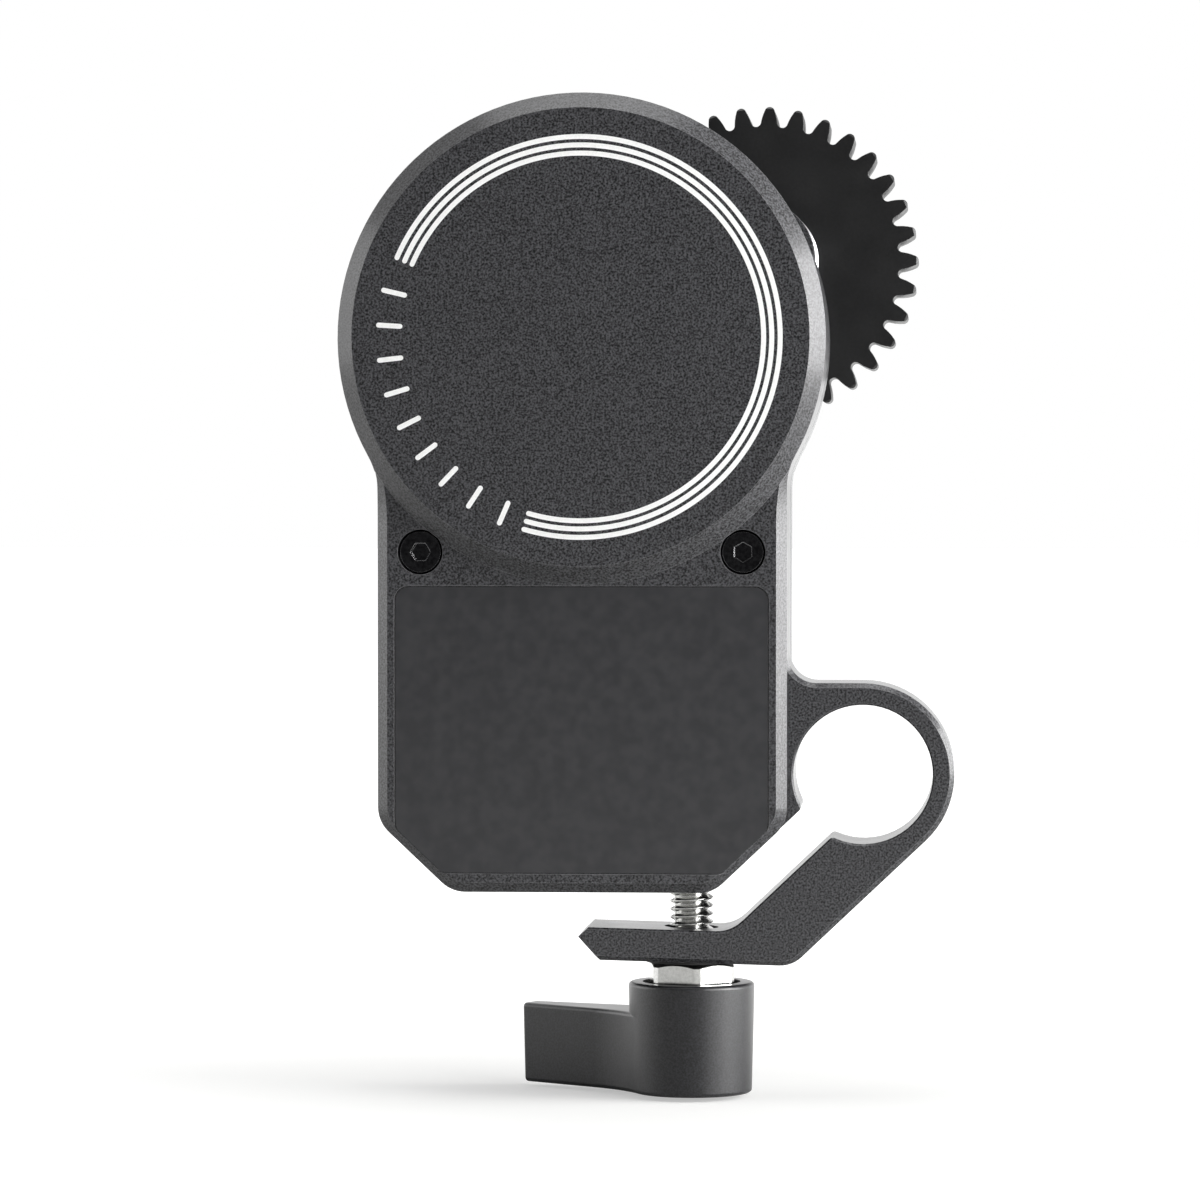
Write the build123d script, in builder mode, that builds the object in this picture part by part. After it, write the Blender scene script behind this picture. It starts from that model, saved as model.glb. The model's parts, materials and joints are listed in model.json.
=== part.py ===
"""Motorised follow focus unit on a rod clamp: a flat motor in a round housing turns a toothed wheel that
drives a lens ring. The housing carries its own split clamp, closed by a bolt with a pull-to-turn lever.

Millimetres. Origin on the axis of the rod bore, half way through the clamp. X is to the right and Z up as
one looks at the rear cover; Y runs from the rear cover towards the toothed wheel.
"""
from build123d import *
from math import acos, atan2, cos, degrees, isclose, pi, radians, sin, tan
import os

os.makedirs("parts", exist_ok=True)

# ---------------------------------------------------------------- driving dimensions
# Rod clamp
rod_d = 12.0
rod_clearance = 0.03          # radial, clamp open by hand
clamp_depth = 9.0             # along the rod, the housing's depth too
ring_wall = 1.87
clamp_bevel = 0.4             # outer edges of the ring, the arm and the tongue's underside
arm_bevel = 0.15              # along the arm's upper side and the tongue's top
bore_bevel = 0.15
slot_angle = 43.4             # slope of the slot, of the arm and of the cut lower corners
slot_above = 1.5              # bore axis to the slot's body side
slot_below = 2.08             # bore axis to the slot's arm side
slot_lip_r = 0.5
clamp_root_r = 2.5            # blend from the body's side to the clamp's top

# Tongue of the clamp
tongue_t = 2.84
tongue_tilt = 1.5             # degrees, free end high: the bolt is drawn up lightly
tongue_gap = 3.43             # body's bottom to the tongue, on the bolt's axis
tongue_reach = 9.66           # bolt's axis to the tongue's tip
nose_top = 0.87               # tip to the end of the upper bevel
nose_low = 1.87               # tip to the end of the lower bevel
nose_drop = 0.84              # tongue's top to its tip
arm_inner_r = 3.2
arm_outer_r = 2.7
tongue_hole_gap = 0.45        # radial, bolt in the tongue
washer_seat_gap = 0.2         # radial, washer on its spot face
seat_cut = 0.08               # tongue's underside to the spot face, on the bolt's axis

# Body and drum
body_w = 35.4
body_to_bore = 6.53           # body's right side to the bore axis
body_below = 10.16            # bore axis to the body's bottom
body_corner_r = 3.0
wall = 1.8
drum_r = 21.05
drum_above = 37.73            # bore axis to the drum's axis
drum_wall = 1.2
neck_r = 5.5

# Covers
rear_t = 3.1
front_t = 6.0
cover_skin = 1.6
cover_bevel = 0.9
bevel_neck_r = 18.5           # the bevel runs out along this larger arc at the neck
disc_face_r = 19.7
disc_rise = 1.55
parting_w = 0.5               # shadow gap between housing and front cover
parting_d = 0.35

# Label plate
label_margin = 0.62           # bevel's inner edge to the recess
label_margin_low = 0.75
label_h = 24.85
label_t = 0.2
label_recess = 0.25
label_gap = 0.08
label_corner_r = 1.2
label_cut_x = 4.02
label_cut_z = 3.85

# M2 cap screws in both covers
m2_d = 2.0
m2_head_d = 3.8
m2_head_h = 2.0
m2_socket_af = 1.5
m2_socket_depth = 1.0
m2_sink = 0.3                 # head below the cover's face
m2_reach = 3.4                # shank into the housing
screw_edge = 0.15             # bevel round a screw's head
m2_thread = 4.5               # depth of the output shaft's screw hole
screw_inset = 3.765           # body's side to the screws' axes
screw_row_drop = 18.46        # drum's axis to the upper row
screw_row_up = 7.56           # body's bottom to the lower row
head_gap = 0.05               # radial, head in its counterbore
shank_gap = 0.06              # radial, shank in a plain hole
thread_gap = 0.02             # radial, shank in its thread
tip_gap = 0.3                 # end of a shank to the end of its hole
boss_r = 2.4

# M1.6 screws inside
m16_d = 1.6
m16_head_d = 3.0
m16_head_h = 0.7
m16_socket_af = 1.3
m16_socket_depth = 0.4
m16_reach = 1.6

# Toothed wheel and its hub
wheel_module = 0.8
wheel_teeth = 33
wheel_w = 8.0
wheel_phase = 0.4             # degrees, a tooth's centre above +X
wheel_crown = 0.28            # rounding of the tooth tips
wheel_gullet = 0.4            # rounding between the teeth
wheel_bevel = 0.2
wheel_side = 14.9             # drum's axis to the wheel's, to the right and up
wheel_rise = 7.48
wheel_gap = 6.0               # front cover's face to the wheel
wheel_recess = 3.0
wheel_rim = 2.2               # root circle to the recess
pressure_angle = 20.0
hub_flange_r = 5.0
hub_flange_t = 1.5
hub_bevel = 0.3
hub_spigot_r = 3.5
press_gap = 0.02              # radial, parts pressed or glued together
wheel_washer_d = 9.0
wheel_washer_t = 0.6

# Gear train
train_module = 0.3
pinion_teeth = 17
idler_teeth = 51
backlash = 0.06
pinion_w = 2.0
idler_w = 1.3
level_gap = 0.4               # between gears, and from gears to plates
pin_d = 1.5
running_gap = 0.04            # radial, shaft in a plain bearing
idler_boss_r = 1.9
pin_socket = 1.3

# Gear plate on its posts
plate_t = 1.5
plate_y = 3.3                 # gear plate's front face
plate_gap = 0.35              # to the drum's wall
post_r = 2.1
post_bite = 0.15              # post into the drum's wall
post_angles = (-22.0, 85.0, 203.0)

# Output shaft and its bearings
shaft_d = 4.0
shaft_tail_d = 3.0
shaft_flat = 0.5
bearing_d = 7.0
bearing_w = 2.5
bearing_gap = 0.4             # between the two bearings
bearing_fit = 0.02            # radial, shaft in a bearing
race_t = 0.55
race_gap = 0.12
boss_wall = 0.8
boss_lip = 0.4
boss_out = 4.0                # front cover's face to the boss's end
blister_r = 4.85              # swelling of the front cover's side round the bearings
clip_t = 0.4
clip_d = 6.0
clip_bite = 0.4
clip_mouth = 60.0             # degrees
collar_w = 0.3

# Flat motor
stator_teeth = 12
stator_h = 3.0
stator_bore_d = 5.2
stator_yoke_r = 4.2
tooth_w = 1.2
shoe_r = 11.3
shoe_t = 0.7
shoe_gap = 1.0
coil_side = 0.45
coil_inset = 0.6
air_gap = 0.3
magnet_t = 0.9
magnet_count = 14
magnet_space = 3.0            # degrees between magnets
bell_t = 0.8
bell_holes = 6
bell_hole_r = 2.1
bell_hole_circle = 7.6
motor_shaft_d = 2.0
base_flange_r = 7.0
base_flange_t = 0.8
base_wall = 0.78
bush_l = 1.4
shaft_clearance = 0.5         # radial, motor shaft in the gear plate
motor_screw_circle = 5.2
encoder_magnet_d = 3.0
encoder_magnet_t = 1.0
encoder_board_r = 6.0
encoder_board_t = 0.8
sensor_w = 3.0
sensor_t = 0.5

# Main circuit board and its socket
board_t = 1.0
board_gap = 0.4
board_front = -1.6            # its front face, on the Y axis
ledge_w = 3.4
socket_w = 8.94
socket_h = 3.16
socket_l = 7.3
socket_r = 1.4
socket_shell = 0.3
socket_tongue = 0.7
socket_z = 8.0
socket_inset = 0.2
window_gap = 0.15

board_chips = (               # place from the board's lower middle, size, height
    ((2.0, 9.0), (5.0, 5.0), 0.8),
    ((-3.5, 3.5), (3.0, 3.0), 0.8),
    ((9.0, 4.5), (4.0, 2.5), 2.2),
    ((-4.0, 12.5), (6.0, 2.0), 1.6),
)

# Clamp bolt and its insert
bolt_x = -15.05
bolt_d = 3.84
bolt_reach = 5.8              # engaged length in the insert
bolt_af = 7.0
bolt_head_h = 4.95
bolt_crown = 0.28
bolt_turn = 10.0              # degrees, how the head's corners stand
bolt_point = 0.25             # bevel at the thread's end, as a share of its radius
stem_d = 4.0
washer_d = 7.9
washer_t = 0.3
washer_gap = 0.13             # radial, bolt in the washer
insert_wall = 0.4
insert_gap = 0.03             # radial, bolt in the insert
insert_sink = 0.3

# Lever on the bolt's head
barrel_d = 11.05              # at its top
barrel_draft = 1.4            # degrees, narrower towards the lower end
barrel_h = 9.7
barrel_show = 1.75            # bolt's head standing above the barrel
barrel_edge_r = 0.35
mouth_r = 4.3
mouth_depth = 1.0
hex_gap = 0.12                # to each flat
hex_float = 0.4               # head's underside to the web
web_t = 0.8
stem_gap = 0.2
chamber_r = 3.9
blade_angle = 28.0            # behind the left-hand direction
blade_l = 16.9                # from the barrel's axis
blade_drop = 2.65             # barrel's top to the blade's top
blade_root = 3.4              # half width on the barrel's axis
blade_tip = 1.1               # half width at the tip
blade_blend_r = 12.0
blade_tip_r = 0.4
keeper_r = 3.4
keeper_t = 1.0
keeper_lift = 0.27            # its head above the barrel's lower end
keeper_shank_d = 2.5
keeper_reach = 3.6
keeper_socket_af = 2.0
keeper_socket_depth = 0.8
spring_wire = 0.4
spring_coils = 3.0
spring_gap = 0.35             # coil to the chamber's wall

# ---------------------------------------------------------------- derived places
bore_r = rod_d / 2 + rod_clearance
ring_r = bore_r + ring_wall
half_depth = clamp_depth / 2
rear_y = -half_depth
front_y = half_depth
front_face_y = front_y + front_t
rear_face_y = rear_y - rear_t
front_skin_y = front_face_y + disc_rise - cover_skin
rear_skin_y = rear_face_y - disc_rise + cover_skin

body_right = -body_to_bore
body_left = body_right - body_w
body_x = body_right - body_w / 2
body_bottom = -body_below
slope_sin = sin(radians(slot_angle))
slope_cos = cos(radians(slot_angle))
cut_top = (body_right * slope_sin + slot_above) / slope_cos
cut_w = body_right - (body_bottom * slope_cos - slot_above) / slope_sin
drum = (body_x, drum_above)
drum_inner_r = drum_r - drum_wall
screw_row_z = drum_above - screw_row_drop
low_screw_z = body_bottom + screw_row_up
cavity_floor = low_screw_z + boss_r

screw_columns = (body_left + screw_inset, body_right - screw_inset)
screw_spots = [(x, row) for row in (screw_row_z, low_screw_z) for x in screw_columns]
head_floor = m2_sink + m2_head_h

wheel_x = body_x + wheel_side
wheel_z = drum_above + wheel_rise
wheel = (wheel_x, wheel_z)
wheel_y = front_face_y + wheel_gap
wheel_far_y = wheel_y + wheel_w
wheel_web_y = wheel_far_y - wheel_recess
hub_y = wheel_y - hub_flange_t
out_angle = degrees(atan2(wheel_rise, wheel_side))
out_unit = (cos(radians(out_angle)), sin(radians(out_angle)))
pinion_pitch = train_module * pinion_teeth / 2
idler_pitch = train_module * idler_teeth / 2


def behind_output(distance):
    """Point this far from the output axis, towards the drum's axis."""
    return (wheel_x - distance * out_unit[0], wheel_z - distance * out_unit[1])


idler = behind_output(2 * pinion_pitch)
motor = behind_output(3 * pinion_pitch + idler_pitch)
plate_rear_y = plate_y - plate_t
idler_y = plate_y + level_gap
pinion_y = idler_y + idler_w + level_gap
pinion_end_y = pinion_y + pinion_w
boss_y = front_face_y + boss_out
bearing_out_r = bearing_d / 2
bearing_front_y = boss_y - boss_lip - bearing_w
bearing_rear_y = bearing_front_y - bearing_gap - bearing_w
clip_y = bearing_rear_y - clip_t
boss_in_y = bearing_rear_y - collar_w
boss_out_r = bearing_out_r + press_gap + boss_wall
shaft_r = shaft_d / 2
shaft_end_y = wheel_web_y - level_gap
post_circle = drum_inner_r + post_bite - post_r
idler_boss_y = pinion_end_y + 2 * level_gap
pin_end_y = idler_boss_y + pin_socket

stator_bore_r = stator_bore_d / 2
magnet_inner_r = shoe_r + air_gap
bell_inner_r = magnet_inner_r + magnet_t
bell_r = bell_inner_r + bell_t
base_y = plate_rear_y - base_flange_t
stator_y = base_y - level_gap - coil_side
stator_end_y = stator_y - stator_h
bell_y = stator_end_y - coil_side - level_gap
bell_end_y = bell_y - bell_t
bell_open_y = plate_rear_y - level_gap
base_low_y = bell_y + level_gap
base_bore_r = stator_bore_r - base_wall
magnet_low_y = bell_end_y - encoder_magnet_t

board_rear = board_front - board_t
board_left = body_left + wall + board_gap
board_right = body_right - wall - board_gap
board_low = cavity_floor + board_gap
board_top = screw_row_z - boss_r - board_gap
board_screw_spots = [
    (x, z)
    for x in (board_left + ledge_w / 2, board_right - ledge_w / 2)
    for z in (board_low + ledge_w / 2, board_top - ledge_w / 2)
]
socket_y = board_front + socket_h / 2

bolt_r = bolt_d / 2
insert_r = bolt_r + insert_gap + insert_wall
insert_top = body_bottom + bolt_reach + tip_gap
tongue_top = body_bottom - tongue_gap
tilt = tan(radians(tongue_tilt))
seat_z = tongue_top - tongue_t / cos(radians(tongue_tilt)) + seat_cut
head_z = seat_z - washer_t - bolt_head_h
barrel_top = seat_z - washer_t - barrel_show
barrel_low = barrel_top - barrel_h
blade_top = barrel_top - blade_drop
web_z = head_z - hex_float
chamber_top = web_z - web_t
keeper_top = barrel_low + keeper_lift + keeper_t


# ---------------------------------------------------------------- shared shapes
def at_y(y):
    """Plane square to the rod, with X to the right and Z up; what is extruded from it grows towards -Y."""
    return Plane.XZ.offset(-y)


def slab(y_low, y_high, mode=Mode.ADD, profile=None):
    """Give a sketch at y_high, or the one just drawn there, its thickness down to y_low."""
    extrude(profile, amount=y_high - y_low, mode=mode)


def disc(centre, radius, y_low, y_high, mode=Mode.ADD):
    """Round slab with its axis along Y."""
    with BuildSketch(at_y(y_high)) as profile:
        with Locations(centre):
            Circle(radius)
    slab(y_low, y_high, mode, profile.sketch)


def post(x, radius, z_low, z_high, mode=Mode.ADD):
    """Round slab on the upright axis at this x."""
    with BuildSketch(Plane.XY.offset(z_low)) as profile:
        with Locations((x, 0)):
            Circle(radius)
    extrude(profile.sketch, amount=z_high - z_low, mode=mode)


def outline(neck):
    """Drum and body in one outline, in the current sketch; the neck has this radius."""
    with Locations(drum):
        Circle(drum_r)
    corners = [
        (body_left, drum_above),
        (body_left, cut_top),
        (body_left + cut_w, body_bottom),
        (body_right - cut_w, body_bottom),
        (body_right, cut_top),
        (body_right, drum_above),
    ]
    with BuildLine() as edge:
        Polyline(*corners, close=True)
    make_face(edge.line)
    fillet(vertices().filter_by_position(Axis.Y, body_bottom, cut_top), body_corner_r)
    fillet(vertices().filter_by_position(Axis.Y, cut_top + body_corner_r, drum_above), neck)


def cavity():
    """Inside of drum and body, in the current sketch."""
    with Locations(drum):
        Circle(drum_inner_r)
    with Locations((body_x, cavity_floor)):
        Rectangle(body_w - 2 * wall, drum_above - cavity_floor, align=(Align.CENTER, Align.MIN))


def label_outline(gap):
    """Label plate's outline in the current sketch, this far inside its recess."""
    left = body_left + cover_bevel + label_margin + gap
    right = body_right - cover_bevel - label_margin - gap
    low = body_bottom + cover_bevel + label_margin_low + gap
    top = low + label_h - 2 * gap
    with BuildLine() as edge:
        Polyline(
            (left, top),
            (left, low + label_cut_z),
            (left + label_cut_x, low),
            (right - label_cut_x, low),
            (right, low + label_cut_z),
            (right, top),
            close=True,
        )
    make_face(edge.line)
    fillet(vertices(), label_corner_r)


def screw_holes(radius, y_low, y_high):
    """Round cuts on the cover screws' axes."""
    with BuildSketch(at_y(y_high)) as profile:
        with Locations(*screw_spots):
            Circle(radius)
    slab(y_low, y_high, Mode.SUBTRACT, profile.sketch)


def cover_block(thickness, gap_w, gap_d):
    """Outer form of a cover, on the rear side: bevelled plate with a raised disc over the drum."""
    face_y = rear_y - thickness
    with BuildSketch(at_y(rear_y - gap_w)) as plate:
        outline(bevel_neck_r)
    slab(face_y + cover_bevel, rear_y - gap_w, profile=plate.sketch)
    with BuildSketch(at_y(face_y + cover_bevel)) as bevelled:
        outline(bevel_neck_r)
    extrude(bevelled.sketch, amount=cover_bevel, taper=45)
    disc(drum, drum_r, face_y, rear_y - gap_w)
    with BuildSketch(at_y(face_y)) as raised:
        with Locations(drum):
            Circle(disc_face_r + disc_rise)
    extrude(raised.sketch, amount=disc_rise, taper=45)
    with BuildSketch(at_y(rear_y)) as trim:
        outline(neck_r)
    slab(face_y - disc_rise, rear_y, Mode.INTERSECT, trim.sketch)
    if gap_w:
        with BuildSketch(at_y(rear_y)) as foot:
            outline(neck_r)
            offset(amount=-gap_d)
        slab(rear_y - gap_w, rear_y, profile=foot.sketch)


def involute(base_r, radius):
    """Angle, in radians, that the involute of this base circle has turned through at a radius."""
    pressure = acos(min(1.0, base_r / radius))
    return tan(pressure) - pressure


def gear_outline(centre, module, teeth, phase, crown=0.0, gullet=0.0):
    """Involute spur gear in the current sketch, with one tooth's centre at the angle phase, in degrees."""
    pitch_r = module * teeth / 2
    base_r = pitch_r * cos(radians(pressure_angle))
    root_r = pitch_r - 1.25 * module
    tip_r = pitch_r + module
    flank_r = max(base_r, root_r + gullet)
    foot_r = flank_r if gullet else root_r
    side_r = tip_r - crown
    half_at_pitch = pi / (2 * teeth) - backlash / (4 * pitch_r) + involute(base_r, pitch_r)
    step = 360 / teeth

    def at(radius, angle):
        return (
            centre[0] + radius * cos(radians(angle)),
            centre[1] + radius * sin(radians(angle)),
        )

    def half(radius):
        return degrees(half_at_pitch - involute(base_r, radius))

    with BuildLine() as edge:
        for tooth in range(teeth):
            middle = phase + tooth * step
            mid_r = (flank_r + side_r) / 2
            next_root = middle + step - half(flank_r)
            if foot_r < flank_r:
                Line(at(foot_r, middle - half(flank_r)), at(flank_r, middle - half(flank_r)))
                Line(at(flank_r, middle + half(flank_r)), at(foot_r, middle + half(flank_r)))
            ThreePointArc(
                at(flank_r, middle - half(flank_r)),
                at(mid_r, middle - half(mid_r)),
                at(side_r, middle - half(side_r)),
            )
            ThreePointArc(
                at(side_r, middle - half(side_r)),
                at(tip_r, middle),
                at(side_r, middle + half(side_r)),
            )
            ThreePointArc(
                at(side_r, middle + half(side_r)),
                at(mid_r, middle + half(mid_r)),
                at(flank_r, middle + half(flank_r)),
            )
            ThreePointArc(
                at(foot_r, middle + half(flank_r)),
                at(root_r, middle + step / 2),
                at(foot_r, next_root),
            )
    make_face(edge.line)


def mesh_phase(angle, phase, teeth, mate_teeth):
    """Tooth angle of the mate that lies in this direction from a gear whose tooth stands at phase."""
    return angle + 180 + 180 / mate_teeth + (angle - phase) * teeth / mate_teeth


def cap_screw(centre, head_y, shank_d, length, head_d, head_h, socket_af, socket_depth, inward, turn):
    """Socket cap screw along Y: head_y is the head's outer face, inward is 1 if the shank points to +Y."""
    seat_y = head_y + inward * head_h
    end_y = seat_y + inward * length
    disc(centre, head_d / 2, min(head_y, seat_y), max(head_y, seat_y))
    rim = edges(Select.LAST).filter_by(GeomType.CIRCLE).group_by(Axis.Y)[0 if inward > 0 else -1]
    chamfer(rim, screw_edge)
    disc(centre, shank_d / 2, min(seat_y, end_y), max(seat_y, end_y))
    floor_y = head_y + inward * socket_depth
    with BuildSketch(at_y(max(head_y, floor_y))) as socket:
        with Locations(centre):
            RegularPolygon(socket_af / 2, 6, major_radius=False, rotation=turn)
    slab(min(head_y, floor_y), max(head_y, floor_y), Mode.SUBTRACT, socket.sketch)


def publish(part, label):
    """Name a finished piece and write it."""
    part.label = label
    export_step(part, f"parts/{label}.step")


# ---------------------------------------------------------------- housing with its split clamp
def along_slope(distance, reach):
    """Point of the same line, this far down from the foot of the bore axis on it."""
    return (
        distance * slope_sin - reach * slope_cos,
        -distance * slope_cos - reach * slope_sin,
    )


def on_tongue(x, drop):
    """Point at x of the line this far under the tongue's top."""
    return (x, tongue_top - (x - bolt_x) * tilt - drop / cos(radians(tongue_tilt)))


def arm_corner(distance, drop):
    """Where a sloping line of the arm meets a line of the tongue."""
    level = tongue_top + bolt_x * tilt - drop / cos(radians(tongue_tilt))
    x = (level + distance / slope_cos) / (slope_sin / slope_cos + tilt)
    return (x, level - x * tilt)


def slot(reach, mode=Mode.ADD):
    """The slot's sloping sides, in the current sketch, from the bore axis down to this reach."""
    with BuildLine() as edge:
        Polyline(
            along_slope(-slot_above, 0),
            along_slope(slot_below, 0),
            along_slope(slot_below, reach),
            along_slope(-slot_above, reach),
            close=True,
        )
    make_face(edge.line, mode=mode)


tip_x = bolt_x - tongue_reach
inner_corner = arm_corner(slot_below, 0)
outer_corner = arm_corner(ring_r, tongue_t)

with BuildPart() as main_housing:
    with BuildSketch(at_y(front_y)):
        Circle(ring_r)
        with Locations((0, 0)):
            Rectangle(body_to_bore + wall, ring_r, align=(Align.MAX, Align.MIN))
        with BuildLine():
            Polyline(
                along_slope(slot_below, 0),
                along_slope(ring_r, 0),
                outer_corner,
                on_tongue(tip_x + nose_low, tongue_t),
                on_tongue(tip_x, nose_drop),
                on_tongue(tip_x + nose_top, 0),
                inner_corner,
                close=True,
            )
        make_face()
        slot(ring_r + ring_wall, Mode.SUBTRACT)
        with Locations((body_right, ring_r)):
            Rectangle(clamp_root_r, clamp_root_r, align=(Align.MIN, Align.MIN))
        with Locations((body_right, 0)):
            Rectangle(wall, ring_r + clamp_root_r, align=(Align.MAX, Align.MIN))
        with BuildLine():
            Polyline(
                (body_right, 0),
                (body_right, cut_top),
                (body_right - wall, cut_top - wall * slope_sin / slope_cos),
                (body_right - wall, 0),
                close=True,
            )
        make_face()
        with Locations((body_right + clamp_root_r, ring_r + clamp_root_r)):
            Circle(clamp_root_r, mode=Mode.SUBTRACT)
        fillet(vertices().sort_by_distance(inner_corner)[0], arm_inner_r)
        fillet(vertices().sort_by_distance(outer_corner)[0], arm_outer_r)
    slab(rear_y, front_y)
    for radius, bevel in ((arm_inner_r, arm_bevel), (ring_r, clamp_bevel)):
        arcs = faces().filter_by(Axis.Y).edges().filter_by(GeomType.CIRCLE)
        chamfer([arc for arc in arcs if isclose(arc.radius, radius, abs_tol=1e-6)], bevel)
    with BuildSketch(at_y(front_y)):
        outline(neck_r)
    slab(rear_y, front_y)
    # bore and slot, with rounded lips
    with BuildSketch(at_y(front_y)):
        Circle(bore_r)
        slot(ring_r)
        for side in (-slot_above, slot_below):
            lip = along_slope(side, (bore_r**2 - side**2) ** 0.5)
            fillet(vertices().sort_by_distance(lip)[0], slot_lip_r)
    slab(rear_y, front_y, Mode.SUBTRACT)
    for y, radius, taper in ((rear_y + bore_bevel, bore_r, -45), (front_y, bore_r + bore_bevel, 45)):
        with BuildSketch(at_y(y)):
            Circle(radius)
        extrude(amount=bore_bevel, taper=taper, mode=Mode.SUBTRACT)
    # inside
    with BuildSketch(at_y(front_y)):
        cavity()
    slab(rear_y, front_y, Mode.SUBTRACT)
    with BuildSketch(at_y(front_y)):
        with Locations(*screw_spots[:2]):
            Circle(boss_r)
    slab(rear_y, front_y)
    with BuildSketch(at_y(plate_rear_y)):
        with Locations(drum):
            for angle in post_angles:
                with PolarLocations(post_circle, 1, start_angle=angle):
                    Circle(post_r)
    slab(rear_y, plate_rear_y)
    with BuildSketch(at_y(board_rear)):
        for x, align in ((body_left + wall, Align.MIN), (body_right - wall, Align.MAX)):
            with Locations((x, cavity_floor)):
                Rectangle(ledge_w, board_top - cavity_floor, align=(align, Align.MIN))
    slab(rear_y, board_rear)
    # screw holes
    for y_low, y_high in ((rear_y, rear_y + m2_reach + tip_gap), (front_y - m2_reach - tip_gap, front_y)):
        screw_holes(m2_d / 2 + thread_gap, y_low, y_high)
    with BuildSketch(at_y(plate_rear_y)):
        with Locations(drum):
            for angle in post_angles:
                with PolarLocations(post_circle, 1, start_angle=angle):
                    Circle(m16_d / 2 + thread_gap)
    slab(plate_rear_y - m16_reach - tip_gap, plate_rear_y, Mode.SUBTRACT)
    with BuildSketch(at_y(board_rear)):
        with Locations(*board_screw_spots):
            Circle(m16_d / 2 + thread_gap)
    slab(board_rear - m16_reach, board_rear, Mode.SUBTRACT)
    # window for the socket, bolt's insert, bolt hole and spot face of the tongue
    with BuildSketch(Plane.YZ.offset(body_left)):
        with Locations((socket_y, socket_z)):
            RectangleRounded(socket_h + 2 * window_gap, socket_w + 2 * window_gap, socket_r + window_gap)
    extrude(amount=wall, mode=Mode.SUBTRACT)
    post(bolt_x, insert_r + press_gap, body_bottom, insert_top + tip_gap, Mode.SUBTRACT)
    post(bolt_x, bolt_r + tongue_hole_gap, seat_z - tongue_t, tongue_top + tongue_t, Mode.SUBTRACT)
    post(bolt_x, washer_d / 2 + washer_seat_gap, seat_z - tongue_t, seat_z, Mode.SUBTRACT)
publish(main_housing.part, "main_housing")

with BuildPart() as thread_insert:
    post(bolt_x, insert_r, body_bottom + insert_sink, insert_top)
    post(bolt_x, bolt_r + insert_gap, body_bottom + insert_sink, insert_top, Mode.SUBTRACT)
publish(thread_insert.part, "thread_insert")

# ---------------------------------------------------------------- covers, label plate and their screws
with BuildPart() as rear_cover:
    cover_block(rear_t, 0, 0)
    with BuildSketch(at_y(rear_y)):
        cavity()
    slab(rear_y - rear_t + cover_skin, rear_y, Mode.SUBTRACT)
    disc(drum, drum_inner_r, rear_skin_y, rear_y, Mode.SUBTRACT)
    with BuildSketch(at_y(rear_y)):
        with Locations(*screw_spots[:2]):
            Circle(boss_r)
    slab(rear_y - rear_t + cover_skin, rear_y)
    with BuildSketch(at_y(rear_face_y + label_recess)):
        label_outline(0)
    slab(rear_face_y, rear_face_y + label_recess, Mode.SUBTRACT)
    screw_holes(m2_head_d / 2 + head_gap, rear_face_y, rear_face_y + head_floor)
    screw_holes(m2_d / 2 + shank_gap, rear_face_y, rear_y)
publish(rear_cover.part, "rear_cover")

with BuildPart() as label_plate:
    with BuildSketch(at_y(rear_face_y + label_recess)):
        label_outline(label_gap)
    slab(rear_face_y + label_recess - label_t, rear_face_y + label_recess)
publish(label_plate.part, "label_plate")

with BuildPart() as front_block:
    cover_block(front_t, parting_w, parting_d)

with BuildPart() as front_cover:
    mirror(front_block.part, about=Plane.XZ)
    disc(wheel, blister_r, front_y + parting_w, front_face_y)
    with BuildSketch(at_y(front_face_y - cover_skin)):
        cavity()
    slab(front_y, front_face_y - cover_skin, Mode.SUBTRACT)
    disc(drum, drum_inner_r, front_y, front_skin_y, Mode.SUBTRACT)
    with BuildSketch(at_y(front_face_y - cover_skin)):
        with Locations(*screw_spots[:2]):
            Circle(boss_r)
    slab(front_y, front_face_y - cover_skin)
    disc(wheel, boss_out_r, boss_in_y, boss_y)
    disc(idler, idler_boss_r, idler_boss_y, front_skin_y + cover_skin / 2)
    screw_holes(m2_head_d / 2 + head_gap, front_face_y - head_floor, front_face_y)
    screw_holes(m2_d / 2 + shank_gap, front_y, front_face_y)
    disc(wheel, bearing_out_r + press_gap, boss_in_y, boss_y - boss_lip, Mode.SUBTRACT)
    disc(wheel, bearing_out_r - race_t, boss_in_y, boss_y, Mode.SUBTRACT)
    disc(idler, pin_d / 2 + press_gap, idler_boss_y, pin_end_y + tip_gap, Mode.SUBTRACT)
publish(front_cover.part, "front_cover")


def m2_screw(spot, head_y, length, inward, turn=30):
    """Cover or wheel screw; turn is how its socket stands, in degrees."""
    size = (m2_head_d, m2_head_h, m2_socket_af, m2_socket_depth)
    cap_screw(spot, head_y, m2_d, length, *size, inward, turn)


def m16_screw(spot, head_y, length=m16_reach + plate_t):
    """Small screw whose shank points to -Y."""
    size = (m16_head_d, m16_head_h, m16_socket_af, m16_socket_depth)
    cap_screw(spot, head_y, m16_d, length, *size, -1, 0)


with BuildPart() as rear_cover_screws:
    for spot in screw_spots:
        turn = 30 if spot[0] > body_x else 0
        m2_screw(spot, rear_face_y + m2_sink, rear_t - head_floor + m2_reach, 1, turn)
publish(rear_cover_screws.part, "rear_cover_screws")

with BuildPart() as front_cover_screws:
    for spot in screw_spots:
        m2_screw(spot, front_face_y - m2_sink, front_t - head_floor + m2_reach, -1)
publish(front_cover_screws.part, "front_cover_screws")


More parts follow.
